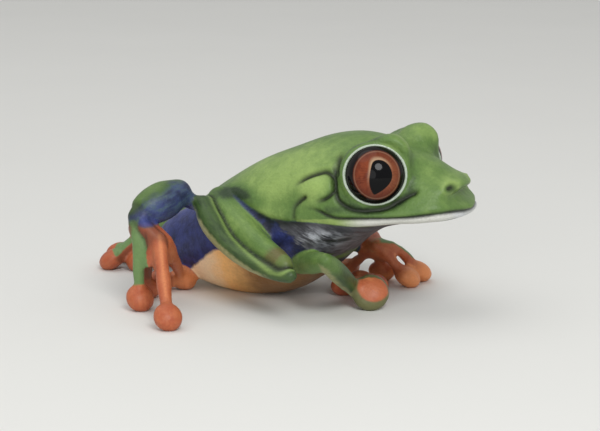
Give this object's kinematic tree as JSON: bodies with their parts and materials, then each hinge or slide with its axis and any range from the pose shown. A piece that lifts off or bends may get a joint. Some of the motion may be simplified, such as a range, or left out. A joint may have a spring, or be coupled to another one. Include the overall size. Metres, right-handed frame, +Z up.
{
  "type": "red-eyed tree frog",
  "caption": "Life-size crouching tree frog with large bulging eyes, slender folded legs and round toe discs, posed still on its belly and feet.",
  "frame": {"origin": "centre of the whole animal's box in plan, on the ground under it", "axes": "+X towards the snout, +Y towards the frog's left side, +Z up"},
  "size_m": [0.0558, 0.042, 0.0226],
  "materials": {
    "back_skin": "moist satin leaf-green skin with a fine grain",
    "flank_skin": "moist satin deep blue skin under a green edge",
    "throat_skin": "soft wrinkled grey-white skin",
    "digit_skin": "satin orange skin with smooth toe discs",
    "eye": "wet glossy red eye with an upright black pupil"
  },
  "bodies": {
    "root": {"head": "back_skin", "lower_jaw": "throat_skin", "trunk": "back_skin", "right_eye": "eye", "left_eye": "eye", "right_upper_arm": "back_skin", "right_forearm": "back_skin", "right_hand": "digit_skin", "right_finger_1": "digit_skin", "right_finger_2": "digit_skin", "right_finger_3": "digit_skin", "right_finger_4": "digit_skin", "right_thigh": "back_skin", "right_shin": "back_skin", "right_tarsus": "flank_skin", "right_foot": "digit_skin", "right_toe_1": "digit_skin", "right_toe_2": "digit_skin", "right_toe_3": "digit_skin", "right_toe_4": "digit_skin", "right_toe_5": "digit_skin", "left_upper_arm": "back_skin", "left_forearm": "back_skin", "left_hand": "digit_skin", "left_finger_1": "digit_skin", "left_finger_2": "digit_skin", "left_finger_3": "digit_skin", "left_finger_4": "digit_skin", "left_thigh": "back_skin", "left_shin": "back_skin", "left_tarsus": "flank_skin", "left_foot": "digit_skin", "left_toe_1": "digit_skin", "left_toe_2": "digit_skin", "left_toe_3": "digit_skin", "left_toe_4": "digit_skin", "left_toe_5": "digit_skin"}
  },
  "joints": []
}
